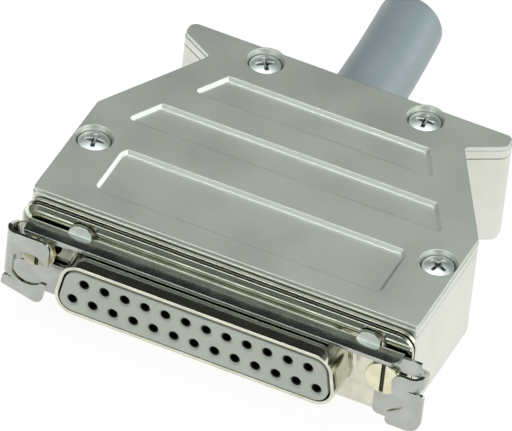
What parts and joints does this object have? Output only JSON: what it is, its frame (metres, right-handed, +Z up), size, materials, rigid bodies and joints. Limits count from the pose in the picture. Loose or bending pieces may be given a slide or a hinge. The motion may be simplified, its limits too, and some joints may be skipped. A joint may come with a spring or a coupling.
{
  "type": "d-sub hood",
  "caption": "Metal hood with a screwed cover on a D-shaped socket connector, with a sliding lock plate with two folded ears and a short cable stub.",
  "frame": {"origin": "middle of the hood's flat underside, halfway between its front and rear faces", "axes": "+Y from the socket face towards the cable, +Z up from the underside to the cover, +X to the right seen from the socket"},
  "size_m": [0.0571, 0.0687, 0.016],
  "materials": {
    "hood_metal": "die-cast metal with a satin nickel plating",
    "screw_steel": "bright zinc-plated steel",
    "shell_tin": "tin-plated drawn sheet steel",
    "insulator_grey": "moulded grey plastic",
    "insulator_black": "moulded black plastic",
    "contact_gold": "gold-flashed turned copper alloy",
    "lock_screw_steel": "zinc-plated steel with a pale yellow tint",
    "lock_steel": "bright nickel-plated sheet steel",
    "cable_grey": "grey cable jacket",
    "braid_copper": "tinned copper braid",
    "core_white": "wrapped wire bundle",
    "clamp_steel": "zinc-plated sheet steel",
    "wire_red": "coloured wire insulation",
    "wire_blue": "coloured wire insulation"
  },
  "bodies": {
    "hood": {"hood_base": "hood_metal", "hood_cover": "hood_metal", "cover_screw_front_left": "screw_steel", "cover_screw_front_right": "screw_steel", "cover_screw_rear_left": "screw_steel", "cover_screw_rear_right": "screw_steel", "front_shell": "shell_tin", "rear_shell": "shell_tin", "front_insulator": "insulator_grey", "rear_insulator": "insulator_black", "upper_contacts": "contact_gold", "lower_contacts": "contact_gold", "left_lock_screw": "lock_screw_steel", "right_lock_screw": "lock_screw_steel", "cable_jacket": "cable_grey", "cable_braid": "braid_copper", "cable_core": "core_white", "crimp_ferrule": "clamp_steel", "clamp_saddle": "clamp_steel", "clamp_screw_left": "screw_steel", "clamp_screw_right": "screw_steel", "upper_wires": "wire_red", "lower_wires": "wire_blue"},
    "slide_lock": {"slide_lock": "lock_steel"}
  },
  "joints": [
    {"name": "lock_slide", "type": "slide", "parent": "hood", "child": "slide_lock", "axis": [-1, 0, 0], "range_m": [0, 0.0027]}
  ]
}
